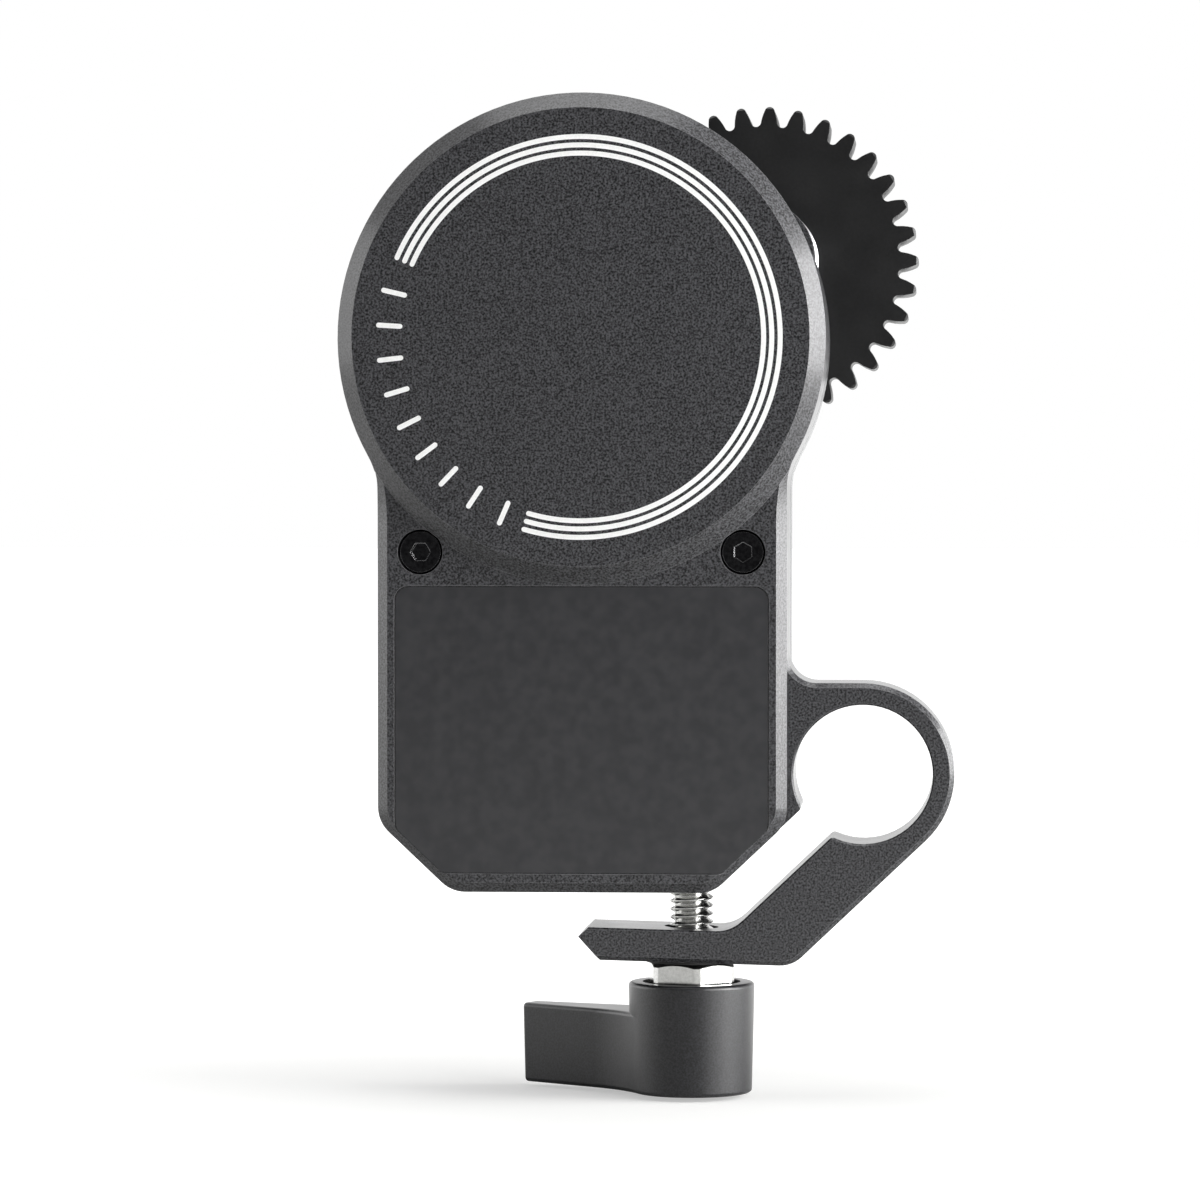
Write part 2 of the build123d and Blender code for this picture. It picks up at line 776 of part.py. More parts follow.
# ---------------------------------------------------------------- gear plate and gear train
post_spots = [
    (drum[0] + post_circle * cos(radians(angle)), drum[1] + post_circle * sin(radians(angle)))
    for angle in post_angles
]
motor_screw_spots = [
    (
        motor[0] + motor_screw_circle * cos(radians(out_angle + turn)),
        motor[1] + motor_screw_circle * sin(radians(out_angle + turn)),
    )
    for turn in (90, 180, 270)
]

with BuildPart() as gear_plate:
    disc(drum, drum_inner_r - plate_gap, plate_rear_y, plate_y)
    disc(motor, motor_shaft_d / 2 + shaft_clearance, plate_rear_y, plate_y, Mode.SUBTRACT)
    disc(idler, pin_d / 2 + press_gap, plate_rear_y, plate_y, Mode.SUBTRACT)
    with BuildSketch(at_y(plate_y)):
        with Locations(*post_spots, *motor_screw_spots):
            Circle(m16_d / 2 + shank_gap)
    slab(plate_rear_y, plate_y, Mode.SUBTRACT)
publish(gear_plate.part, "gear_plate")

with BuildPart() as gear_plate_screws:
    for spot in post_spots:
        m16_screw(spot, plate_y + m16_head_h)
publish(gear_plate_screws.part, "gear_plate_screws")

with BuildPart() as idler_pin:
    disc(idler, pin_d / 2, plate_rear_y, pin_end_y)
publish(idler_pin.part, "idler_pin")

out_pinion_phase = wheel_phase
idler_pinion_phase = mesh_phase(out_angle + 180, out_pinion_phase, pinion_teeth, pinion_teeth)
idler_wheel_phase = idler_pinion_phase
motor_pinion_phase = mesh_phase(out_angle + 180, idler_wheel_phase, idler_teeth, pinion_teeth)

with BuildPart() as idler_gear:
    with BuildSketch(at_y(idler_y + idler_w)):
        gear_outline(idler, train_module, idler_teeth, idler_wheel_phase)
    slab(idler_y, idler_y + idler_w)
    with BuildSketch(at_y(pinion_end_y + level_gap)):
        gear_outline(idler, train_module, pinion_teeth, idler_pinion_phase)
    slab(idler_y + idler_w, pinion_end_y + level_gap)
    disc(idler, pin_d / 2 + running_gap, idler_y, pinion_end_y + level_gap, Mode.SUBTRACT)
publish(idler_gear.part, "idler_gear")

with BuildPart() as output_pinion:
    with BuildSketch(at_y(pinion_end_y)):
        gear_outline(wheel, train_module, pinion_teeth, out_pinion_phase)
        with Locations(wheel):
            Circle(shaft_tail_d / 2 + press_gap, mode=Mode.SUBTRACT)
    slab(pinion_y, pinion_end_y)
publish(output_pinion.part, "output_pinion")

with BuildPart() as output_shaft:
    disc(wheel, shaft_tail_d / 2, pinion_y, boss_in_y)
    disc(wheel, shaft_r, clip_y - collar_w, clip_y)
    disc(wheel, shaft_r - clip_bite, clip_y, bearing_rear_y)
    disc(wheel, shaft_r, bearing_rear_y, shaft_end_y)
    with BuildSketch(at_y(shaft_end_y)):
        with Locations((wheel_x, wheel_z + shaft_r - shaft_flat)):
            Rectangle(shaft_d, shaft_flat, align=(Align.CENTER, Align.MIN))
    slab(hub_y, shaft_end_y, Mode.SUBTRACT)
    disc(wheel, m2_d / 2 + thread_gap, shaft_end_y - m2_thread, shaft_end_y, Mode.SUBTRACT)
publish(output_shaft.part, "output_shaft")

with BuildPart() as retaining_clip:
    with BuildSketch(at_y(bearing_rear_y)):
        with Locations(wheel):
            Circle(clip_d / 2)
            Circle(shaft_r - clip_bite + press_gap, mode=Mode.SUBTRACT)
        with BuildLine():
            mouth = [
                (wheel_x + clip_d * cos(radians(a)), wheel_z + clip_d * sin(radians(a)))
                for a in (-90 - clip_mouth / 2, -90 + clip_mouth / 2)
            ]
            Polyline(wheel, *mouth, close=True)
        make_face(mode=Mode.SUBTRACT)
    slab(clip_y, bearing_rear_y)
publish(retaining_clip.part, "retaining_clip")

for label, low in (("output_bearing_rear", bearing_rear_y), ("output_bearing_front", bearing_front_y)):
    with BuildPart() as bearing:
        with BuildSketch(at_y(low + bearing_w)):
            with Locations(wheel):
                Circle(bearing_out_r)
                Circle(shaft_r + race_t + race_gap, mode=Mode.SUBTRACT)
                Circle(shaft_r + race_t)
                Circle(shaft_r + bearing_fit, mode=Mode.SUBTRACT)
        slab(low, low + bearing_w)
    publish(bearing.part, label)

# ---------------------------------------------------------------- toothed wheel on its hub
with BuildPart() as gear_hub:
    disc(wheel, hub_flange_r, hub_y, wheel_y)
    chamfer(edges().filter_by(GeomType.CIRCLE), hub_bevel)
    disc(wheel, hub_spigot_r, wheel_y - hub_bevel, shaft_end_y)
    with BuildSketch(at_y(shaft_end_y)):
        with Locations(wheel):
            Circle(shaft_r + press_gap)
        with Locations((wheel_x, wheel_z + shaft_r - shaft_flat + press_gap)):
            Rectangle(shaft_d, shaft_d, align=(Align.CENTER, Align.MIN), mode=Mode.SUBTRACT)
    slab(hub_y, shaft_end_y, Mode.SUBTRACT)
publish(gear_hub.part, "gear_hub")

wheel_root_r = wheel_module * (wheel_teeth / 2 - 1.25)
wheel_tip_r = wheel_module * (wheel_teeth / 2 + 1)

with BuildPart() as drive_gear:
    with BuildSketch(at_y(wheel_far_y)):
        gear_outline(wheel, wheel_module, wheel_teeth, wheel_phase, wheel_crown, wheel_gullet)
    slab(wheel_y, wheel_far_y)
    with BuildSketch(Plane((wheel_x, 0, wheel_z), x_dir=(1, 0, 0), z_dir=(0, 0, 1))):
        with BuildLine():
            Polyline(
                (0, wheel_y),
                (wheel_tip_r - wheel_bevel, wheel_y),
                (wheel_tip_r, wheel_y + wheel_bevel),
                (wheel_tip_r, wheel_far_y - wheel_bevel),
                (wheel_tip_r - wheel_bevel, wheel_far_y),
                (0, wheel_far_y),
                close=True,
            )
        make_face()
    revolve(axis=Axis((wheel_x, 0, wheel_z), (0, 1, 0)), mode=Mode.INTERSECT)
    disc(wheel, wheel_root_r - wheel_rim, wheel_web_y, wheel_far_y, Mode.SUBTRACT)
    disc(wheel, hub_spigot_r + press_gap, wheel_y, wheel_web_y, Mode.SUBTRACT)
publish(drive_gear.part, "drive_gear")

with BuildPart() as wheel_washer:
    disc(wheel, wheel_washer_d / 2, wheel_web_y, wheel_web_y + wheel_washer_t)
    disc(wheel, m2_d / 2 + shank_gap, wheel_web_y, wheel_web_y + wheel_washer_t, Mode.SUBTRACT)
publish(wheel_washer.part, "wheel_washer")

with BuildPart() as wheel_screw:
    m2_screw(
        wheel,
        wheel_web_y + wheel_washer_t + m2_head_h,
        wheel_washer_t + wheel_web_y - shaft_end_y + m2_thread - tip_gap,
        -1,
    )
publish(wheel_screw.part, "wheel_screw")

# ---------------------------------------------------------------- flat motor behind the gear plate
with BuildPart() as motor_base:
    disc(motor, base_flange_r, base_y, plate_rear_y)
    disc(motor, stator_bore_r - press_gap, base_low_y, base_y)
    disc(motor, base_bore_r, base_low_y, plate_rear_y, Mode.SUBTRACT)
    with BuildSketch(at_y(plate_rear_y)):
        with Locations(*motor_screw_spots):
            Circle(m16_d / 2 + thread_gap)
    slab(base_y, plate_rear_y, Mode.SUBTRACT)
publish(motor_base.part, "motor_base")

with BuildPart() as motor_screws:
    for spot in motor_screw_spots:
        m16_screw(spot, plate_y + m16_head_h, plate_t + base_flange_t)
publish(motor_screws.part, "motor_screws")

with BuildPart() as motor_bushes:
    for low in (base_low_y, plate_rear_y - bush_l):
        disc(motor, base_bore_r - press_gap, low, low + bush_l)
        disc(motor, motor_shaft_d / 2 + running_gap, low, low + bush_l, Mode.SUBTRACT)
publish(motor_bushes.part, "motor_bushes")

with BuildPart() as stator_core:
    with BuildSketch(at_y(stator_y)):
        with Locations(motor):
            Circle(shoe_r)
            Circle(shoe_r - shoe_t, mode=Mode.SUBTRACT)
            with PolarLocations(shoe_r, stator_teeth, start_angle=180 / stator_teeth):
                Rectangle(3 * shoe_t, shoe_gap, mode=Mode.SUBTRACT)
            with PolarLocations(0, stator_teeth):
                Rectangle(shoe_r - shoe_t / 2, tooth_w, align=(Align.MIN, Align.CENTER))
            Circle(stator_yoke_r)
            Circle(stator_bore_r, mode=Mode.SUBTRACT)
    slab(stator_end_y, stator_y)
publish(stator_core.part, "stator_core")

coil_low_r = stator_yoke_r + coil_inset
coil_l = shoe_r - shoe_t - coil_inset / 2 - coil_low_r
coil_w = tooth_w + 2 * coil_side

with BuildPart() as stator_windings:
    with BuildSketch(at_y(stator_y + coil_side)):
        with Locations(motor):
            with PolarLocations(coil_low_r, stator_teeth):
                Rectangle(coil_l, coil_w, align=(Align.MIN, Align.CENTER))
    slab(stator_end_y - coil_side, stator_y + coil_side)
    chamfer(edges().filter_by(GeomType.LINE).filter_by(Axis.Y, reverse=True), coil_side / 2)
    with BuildSketch(at_y(stator_y)):
        with Locations(motor):
            with PolarLocations(0, stator_teeth):
                Rectangle(shoe_r, tooth_w, align=(Align.MIN, Align.CENTER))
    slab(stator_end_y, stator_y, Mode.SUBTRACT)
publish(stator_windings.part, "stator_windings")

with BuildPart() as rotor_bell:
    disc(motor, bell_r, bell_end_y, bell_open_y)
    disc(motor, bell_inner_r, bell_y, bell_open_y, Mode.SUBTRACT)
    chamfer(edges().filter_by(GeomType.CIRCLE).sort_by(Axis.Y)[0], bell_t / 2)
    disc(motor, motor_shaft_d / 2 + press_gap, bell_end_y, bell_y, Mode.SUBTRACT)
    with BuildSketch(at_y(bell_y)):
        with Locations(motor):
            with PolarLocations(bell_hole_circle, bell_holes):
                Circle(bell_hole_r)
    slab(bell_end_y, bell_y, Mode.SUBTRACT)
publish(rotor_bell.part, "rotor_bell")

with BuildPart() as rotor_magnets:
    with BuildSketch(at_y(base_y)):
        with Locations(motor):
            Circle(bell_inner_r - press_gap)
            Circle(magnet_inner_r, mode=Mode.SUBTRACT)
            with PolarLocations(magnet_inner_r + magnet_t / 2, magnet_count):
                Rectangle(2 * magnet_t, magnet_space, mode=Mode.SUBTRACT)
    slab(bell_y, base_y)
publish(rotor_magnets.part, "rotor_magnets")

with BuildPart() as motor_shaft:
    disc(motor, motor_shaft_d / 2, bell_end_y, pinion_y)
publish(motor_shaft.part, "motor_shaft")

with BuildPart() as motor_pinion:
    with BuildSketch(at_y(pinion_y)):
        gear_outline(motor, train_module, pinion_teeth, motor_pinion_phase)
        with Locations(motor):
            Circle(motor_shaft_d / 2 + press_gap, mode=Mode.SUBTRACT)
    slab(plate_y + level_gap / 2, pinion_y)
publish(motor_pinion.part, "motor_pinion")

with BuildPart() as encoder_magnet:
    disc(motor, encoder_magnet_d / 2, magnet_low_y, bell_end_y)
publish(encoder_magnet.part, "encoder_magnet")

with BuildPart() as encoder_board:
    disc(motor, encoder_board_r, rear_skin_y, rear_skin_y + encoder_board_t)
    with BuildSketch(at_y(rear_skin_y + encoder_board_t + sensor_t)):
        with Locations(motor):
            Rectangle(sensor_w, sensor_w)
    slab(rear_skin_y + encoder_board_t, rear_skin_y + encoder_board_t + sensor_t)
publish(encoder_board.part, "encoder_board")

# ---------------------------------------------------------------- main circuit board and its socket
with BuildPart() as circuit_board:
    with BuildSketch(at_y(board_front)):
        with Locations(((board_left + board_right) / 2, (board_low + board_top) / 2)):
            Rectangle(board_right - board_left, board_top - board_low)
        with Locations(*board_screw_spots):
            Circle(m16_d / 2 + shank_gap, mode=Mode.SUBTRACT)
    slab(board_rear, board_front)
    for place, size, height in board_chips:
        with BuildSketch(at_y(board_front + height)):
            with Locations((body_x + place[0], board_low + place[1])):
                Rectangle(*size)
        slab(board_front, board_front + height)
publish(circuit_board.part, "circuit_board")

with BuildPart() as board_screws:
    for spot in board_screw_spots:
        m16_screw(spot, board_front + m16_head_h, board_t + m16_reach - tip_gap)
publish(board_screws.part, "board_screws")

with BuildPart() as usb_socket:
    with BuildSketch(Plane.YZ.offset(body_left + socket_inset)):
        with Locations((socket_y, socket_z)):
            RectangleRounded(socket_h, socket_w, socket_r)
    extrude(amount=socket_l)
    with BuildSketch(Plane.YZ.offset(body_left + socket_inset)):
        with Locations((socket_y, socket_z)):
            RectangleRounded(
                socket_h - 2 * socket_shell, socket_w - 2 * socket_shell, socket_r - socket_shell
            )
            Rectangle(socket_tongue, socket_w - 2 * socket_r, mode=Mode.SUBTRACT)
    extrude(amount=socket_l - 2 * socket_shell, mode=Mode.SUBTRACT)
publish(usb_socket.part, "usb_socket")

# ---------------------------------------------------------------- clamp bolt and its washer
with BuildPart() as clamp_bolt:
    post(bolt_x, bolt_r, seat_z - washer_t, body_bottom + bolt_reach)
    chamfer(faces().sort_by(Axis.Z)[-1].edges(), bolt_r * bolt_point)
    with BuildSketch(Plane.XY.offset(head_z)):
        with Locations((bolt_x, 0)):
            RegularPolygon(bolt_af / 2, 6, major_radius=False, rotation=bolt_turn + 30)
    extrude(amount=bolt_head_h)
    corner_r = bolt_af / 2 / cos(radians(30))
    with BuildSketch(Plane.XZ):
        with BuildLine():
            Polyline(
                (bolt_x, head_z),
                (bolt_x + corner_r, head_z),
                (bolt_x + corner_r, head_z + bolt_head_h - bolt_crown),
                (bolt_x + bolt_af / 2, head_z + bolt_head_h),
                (bolt_x + bolt_r, head_z + bolt_head_h),
                (bolt_x + bolt_r, body_bottom + bolt_reach),
                (bolt_x, body_bottom + bolt_reach),
                close=True,
            )
        make_face()
    revolve(axis=Axis((bolt_x, 0, 0), (0, 0, 1)), mode=Mode.INTERSECT)
    post(bolt_x, stem_d / 2, keeper_top, head_z)
    keeper_end = keeper_top + keeper_reach + tip_gap
    post(bolt_x, keeper_shank_d / 2 + thread_gap, keeper_top, keeper_end, Mode.SUBTRACT)
publish(clamp_bolt.part, "clamp_bolt")

with BuildPart() as thrust_washer:
    post(bolt_x, washer_d / 2, seat_z - washer_t, seat_z)
    post(bolt_x, bolt_r + washer_gap, seat_z - washer_t, seat_z, Mode.SUBTRACT)
publish(thrust_washer.part, "thrust_washer")

with BuildPart() as lever_screw:
    post(bolt_x, keeper_r, keeper_top - keeper_t, keeper_top)
    chamfer(faces().sort_by(Axis.Z)[0].edges(), screw_edge)
    post(bolt_x, keeper_shank_d / 2, keeper_top, keeper_top + keeper_reach)
    with BuildSketch(Plane.XY.offset(keeper_top - keeper_t)):
        with Locations((bolt_x, 0)):
            RegularPolygon(keeper_socket_af / 2, 6, major_radius=False)
    extrude(amount=keeper_socket_depth, mode=Mode.SUBTRACT)
publish(lever_screw.part, "lever_screw")

# ---------------------------------------------------------------- lever
blade_dir = (-cos(radians(blade_angle)), sin(radians(blade_angle)), 0)

with BuildPart() as blade:
    with BuildSketch(Plane((bolt_x, 0, blade_top), x_dir=blade_dir, z_dir=(0, 0, -1))):
        Circle(barrel_d / 2 - blade_drop * tan(radians(barrel_draft)))
        with BuildLine():
            Polyline(
                (0, -blade_root),
                (blade_l, -blade_tip),
                (blade_l, blade_tip),
                (0, blade_root),
                close=True,
            )
        make_face()
        fillet(vertices().filter_by_position(Axis.X, blade_root / 2, barrel_d / 2), blade_blend_r)
        fillet(vertices().sort_by(Axis.X)[-2:], blade_tip_r)
    extrude(amount=blade_top - barrel_low, taper=barrel_draft)
    fillet(faces().filter_by(Axis.Z).edges(), barrel_edge_r)

with BuildPart() as lever:
    with BuildSketch(Plane((bolt_x, 0, barrel_top), z_dir=(0, 0, -1))):
        Circle(barrel_d / 2)
    extrude(amount=barrel_h, taper=barrel_draft)
    fillet(edges().filter_by(GeomType.CIRCLE), barrel_edge_r)
    add(blade.part)
    post(bolt_x, mouth_r, barrel_top - mouth_depth, barrel_top, Mode.SUBTRACT)
    with BuildSketch(Plane.XY.offset(web_z)):
        with Locations((bolt_x, 0)):
            RegularPolygon(bolt_af / 2 + hex_gap, 6, major_radius=False, rotation=bolt_turn + 30)
    extrude(amount=barrel_top - mouth_depth - web_z, mode=Mode.SUBTRACT)
    post(bolt_x, stem_d / 2 + stem_gap, chamber_top, web_z, Mode.SUBTRACT)
    post(bolt_x, chamber_r, barrel_low, chamber_top, Mode.SUBTRACT)
publish(lever.part, "lever")

with BuildPart() as lever_spring:
    coil_r = chamber_r - spring_gap - spring_wire / 2
    coil_rise = chamber_top - keeper_top - spring_wire
    with BuildLine():
        coil = Helix(
            pitch=coil_rise / spring_coils,
            height=coil_rise,
            radius=coil_r,
            center=(bolt_x, 0, keeper_top + spring_wire / 2),
        )
    with BuildSketch(Plane(coil @ 0, z_dir=coil % 0)):
        Circle(spring_wire / 2)
    sweep(path=coil)
publish(lever_spring.part, "lever_spring")
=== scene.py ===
"""Motorised follow focus unit on a rod clamp, dressed for the studio.

The machined and moulded pieces keep their solids and get their finishes here. The clamp bolt with its cut
thread, the lever's spring and the printed rings of the drum are made in full. Metres, in the frame of the
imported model.
"""

import json
from math import cos, pi, radians, sin, tan

import bmesh
import bpy
from mathutils import Matrix, Vector


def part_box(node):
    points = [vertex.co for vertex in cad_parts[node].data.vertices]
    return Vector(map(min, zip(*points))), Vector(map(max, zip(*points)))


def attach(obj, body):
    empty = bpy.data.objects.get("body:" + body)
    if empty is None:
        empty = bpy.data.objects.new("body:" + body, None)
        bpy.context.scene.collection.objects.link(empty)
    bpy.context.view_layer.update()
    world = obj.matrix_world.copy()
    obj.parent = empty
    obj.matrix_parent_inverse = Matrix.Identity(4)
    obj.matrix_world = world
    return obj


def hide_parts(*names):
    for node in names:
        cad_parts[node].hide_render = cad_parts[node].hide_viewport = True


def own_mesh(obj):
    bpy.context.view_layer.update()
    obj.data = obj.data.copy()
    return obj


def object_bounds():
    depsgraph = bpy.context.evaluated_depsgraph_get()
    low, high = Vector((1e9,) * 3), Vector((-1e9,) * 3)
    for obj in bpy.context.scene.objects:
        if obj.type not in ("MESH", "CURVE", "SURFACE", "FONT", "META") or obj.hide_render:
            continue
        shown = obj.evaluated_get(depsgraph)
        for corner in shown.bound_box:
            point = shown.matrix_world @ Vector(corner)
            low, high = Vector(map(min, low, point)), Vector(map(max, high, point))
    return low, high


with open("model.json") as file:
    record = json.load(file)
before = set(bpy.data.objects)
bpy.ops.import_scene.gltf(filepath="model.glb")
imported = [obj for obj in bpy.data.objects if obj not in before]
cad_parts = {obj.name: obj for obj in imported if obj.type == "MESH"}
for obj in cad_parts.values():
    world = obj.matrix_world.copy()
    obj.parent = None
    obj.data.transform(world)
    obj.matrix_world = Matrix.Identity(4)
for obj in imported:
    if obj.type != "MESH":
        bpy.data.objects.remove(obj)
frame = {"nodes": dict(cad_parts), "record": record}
cad_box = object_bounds()
MM = 0.001


# ---------------------------------------------------------------- places taken from the frame
def middle(node):
    """Centre of a node's box."""
    low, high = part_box(node)
    return (Vector(low) + Vector(high)) / 2


cover_low, cover_high = (Vector(corner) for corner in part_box("rear_cover"))
drum_r = (cover_high.x - cover_low.x) / 2
drum_x = middle("rear_cover").x
drum_z = cover_high.z - drum_r
disc_y = cover_low.y
wheel_x, wheel_z = middle("drive_gear").x, middle("drive_gear").z
bolt_x = middle("clamp_bolt").x
bolt_low, bolt_high = (Vector(corner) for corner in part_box("clamp_bolt"))
washer_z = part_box("thrust_washer")[0][2]
spring_low, spring_high = (Vector(corner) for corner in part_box("lever_spring"))


# ---------------------------------------------------------------- shader building
BEVEL_RAYS = 6
WEAR_AND_HIGHLIGHT_FROM = 0.995              # how far rounded and true normals agree where the lighter edge, wear and painted highlight, starts
WEAR_AND_HIGHLIGHT_TO = 0.86                 # and where it is full
PATTERN_STOPS = (0.32, 0.68)  # shares of a pattern where its first and second colour are full
SMUDGE_MM = 4.0
SMUDGE_FROM, SMUDGE_TO = 0.3, 0.7


def linear(hex_colour):
    """An sRGB hex colour as the linear colour that shaders take."""
    parts = [int(hex_colour[place : place + 2], 16) / 255 for place in (1, 3, 5)]
    return tuple(c / 12.92 if c <= 0.04045 else ((c + 0.055) / 1.055) ** 2.4 for c in parts) + (1.0,)


def add(tree, kind, inputs=None, **settings):
    """Add one node: settings are its own properties, inputs the values or sockets that feed its inputs."""
    made = tree.nodes.new(kind)
    for name, value in settings.items():
        setattr(made, name, value)
    for name, value in (inputs or {}).items():
        if isinstance(value, bpy.types.NodeSocket):
            tree.links.new(value, made.inputs[name])
        else:
            made.inputs[name].default_value = value
    return made


def blank(name):
    """A new material with its node tree emptied down to the output."""
    made = bpy.data.materials.new(name)
    made.use_nodes = True
    tree = made.node_tree
    tree.nodes.clear()
    return made, tree, add(tree, "ShaderNodeOutputMaterial")


def per_mm(size):
    """A texture's scale at which its pattern is this many millimetres wide."""
    return 1 / (size * MM)


def worn_and_highlit_edges(tree, width_mm, strength):
    """1 along sharp edges and 0 on open faces: where handling has worn the finish thin, and where the lighter
    edge colour is also a painted edge highlight.
    """
    rounded = add(tree, "ShaderNodeBevel", {"Radius": width_mm * MM}, samples=BEVEL_RAYS).outputs["Normal"]
    true_normal = add(tree, "ShaderNodeNewGeometry").outputs["Normal"]
    match = add(tree, "ShaderNodeVectorMath", {0: rounded, 1: true_normal}, operation="DOT_PRODUCT")
    wear_and_highlight_range = {"Value": match.outputs["Value"], "From Min": WEAR_AND_HIGHLIGHT_FROM, "From Max": WEAR_AND_HIGHLIGHT_TO, "To Max": strength}
    return add(tree, "ShaderNodeMapRange", wear_and_highlight_range).outputs["Result"]


def skin(tree, pattern, colours, rough, depth_mm, edge_mm=0.06, edge_wear_and_highlight=None):
    """Colour, roughness and relief of a finish.

    The pattern, a width in mm for plain blotches or a texture's socket, runs the colour from the first to the
    second and raises the surface. Wide faint smudges run the roughness. Sharp edges are rounded by edge_mm,
    and the last argument is the colour, width and strength of the lighter edge there: what wear shows, and
    a painted edge highlight as well.
    """
    place = add(tree, "ShaderNodeTexCoord").outputs["Object"]
    if not isinstance(pattern, bpy.types.NodeSocket):
        blotches = {"Vector": place, "Scale": per_mm(pattern), "Detail": 1.0}
        pattern = add(tree, "ShaderNodeTexNoise", blotches).outputs["Fac"]
    ramp = add(tree, "ShaderNodeValToRGB", {"Fac": pattern})
    for stop, position, colour in zip(ramp.color_ramp.elements, PATTERN_STOPS, colours):
        stop.position = position
        stop.color = linear(colour)
    colour = ramp.outputs["Color"]
    if edge_wear_and_highlight:
        wear_and_highlight_colour, wear_and_highlight_width, wear_and_highlight_strength = edge_wear_and_highlight
        # lighter along sharp edges: worn finish, and a painted edge highlight too
        edge = worn_and_highlit_edges(tree, wear_and_highlight_width, wear_and_highlight_strength)
        # a Mix node's colours are its inputs 6 and 7 and its output 2
        blend = {0: edge, 6: colour, 7: linear(wear_and_highlight_colour)}
        colour = add(tree, "ShaderNodeMix", blend, data_type="RGBA").outputs[2]
    smudges = add(tree, "ShaderNodeTexNoise", {"Vector": place, "Scale": per_mm(SMUDGE_MM), "Detail": 2.0})
    gloss = {
        "Value": smudges.outputs["Fac"],
        "From Min": SMUDGE_FROM,
        "From Max": SMUDGE_TO,
        "To Min": rough[0],
        "To Max": rough[1],
    }
    soft = add(tree, "ShaderNodeBevel", {"Radius": edge_mm * MM}, samples=BEVEL_RAYS).outputs["Normal"]
    bump = {"Height": pattern, "Distance": depth_mm * MM, "Normal": soft}
    return {
        "Base Color": colour,
        "Roughness": add(tree, "ShaderNodeMapRange", gloss).outputs["Result"],
        "Normal": add(tree, "ShaderNodeBump", bump).outputs["Normal"],
    }


def surface(name, sockets):
    """A material whose Principled sockets are what sockets(tree) returns."""
    made, tree, output = blank(name)
    shader = add(tree, "ShaderNodeBsdfPrincipled", sockets(tree))
    tree.links.new(shader.outputs["BSDF"], output.inputs["Surface"])
    return made


# ---------------------------------------------------------------- finishes
BANDS_PER_SCALE = 20          # a wave texture's bands are a twentieth of its scale's length apart
# the clear sealed skin carries the gloss, and the dyed layer under it is dull
SEALED = {"Specular IOR Level": 0.2, "Coat Weight": 0.8, "Coat Roughness": 0.2}


def blasted_cover(tree):
    """Aluminium, bead blasted, dyed black in the anodising bath and sealed: sandy grain under a clear skin,
    its light specks a painted sparkle.

    The grain is drawn three times as coarse as 60 micron beads leave it, so that it shows.
    """
    # grain from near black to mid grey: random tone, with its light specks painted sparkle; the pale edge
    # colour is wear and a painted edge highlight
    blasted = skin(tree, 0.18, ("#0a0a0b", "#525255"), (0.3, 0.4), 0.006, edge_wear_and_highlight=("#8c8c8e", 0.1, 0.7))
    return blasted | SEALED


def satin_lever(tree):
    """Aluminium, finely blasted, anodised black and sealed: smoother than the covers, with a silky sheen.

    The grain is drawn about three times as coarse as 50 micron beads leave it, so that it shows.
    """
    # the pale edge colour is wear and a painted edge highlight
    blasted = skin(tree, 0.16, ("#040405", "#26262a"), (0.34, 0.44), 0.008, 0.15, edge_wear_and_highlight=("#77777a", 0.12, 0.4))
    return blasted | SEALED | {"Coat Weight": 1.0, "Coat Roughness": 0.34}


def film(tree):
    """Polyester film, glossy, laid in a recess: dark and sleek, with a faint ripple of its glue."""
    return skin(tree, 1.2, ("#333335", "#3a3a3c"), (0.14, 0.2), 0.001, 0.04)


def black_oxide(tree):
    """Steel, forged and blackened in hot salts: near-black metal with a thin oily sheen."""
    # the pale edge colour is wear down to bright steel and painted glints on the heads' edges and socket
    # walls
    oxide = skin(tree, 0.3, ("#242426", "#38383a"), (0.18, 0.28), 0.002, edge_wear_and_highlight=("#b4b4b6", 0.09, 0.9))
    return oxide | {"Metallic": 1.0}


def bright_steel(tree):
    """Steel, turned and nickel plated: mirror bright, with very fine marks left by the tool."""
    return skin(tree, 0.25, ("#cfcfcd", "#dededc"), (0.1, 0.18), 0.001, 0.04) | {"Metallic": 1.0}


def turned_aluminium(tree):
    """Aluminium, turned and left bright: pale satin metal with fine rings from the tool."""
    place = add(tree, "ShaderNodeTexCoord").outputs["Object"]
    from_axis = {0: place, 1: (wheel_x, 0.0, wheel_z)}
    centred = add(tree, "ShaderNodeVectorMath", from_axis, operation="SUBTRACT").outputs["Vector"]
    feed = {"Vector": centred, "Scale": per_mm(BANDS_PER_SCALE * 0.12), "Distortion": 0.3}
    rings = add(tree, "ShaderNodeTexWave", feed, wave_type="RINGS", rings_direction="Y").outputs["Fac"]
    return skin(tree, rings, ("#b4b4b6", "#c6c6c8"), (0.24, 0.34), 0.002) | {"Metallic": 1.0}


def brass(tree):
    """Brass, hobbed: warm yellow metal with cutter marks."""
    return skin(tree, 0.2, ("#b08a45", "#c9a55c"), (0.22, 0.34), 0.003) | {"Metallic": 1.0}


def acetal(tree):
    """Acetal, hobbed on a turned blank: deep black plastic with a soft waxy gloss."""
    # the lighter edge colour is wear and a painted edge highlight
    return skin(tree, 0.3, ("#0b0b0c", "#131314"), (0.32, 0.42), 0.004, 0.1, edge_wear_and_highlight=("#1c1c1e", 0.1, 0.4))


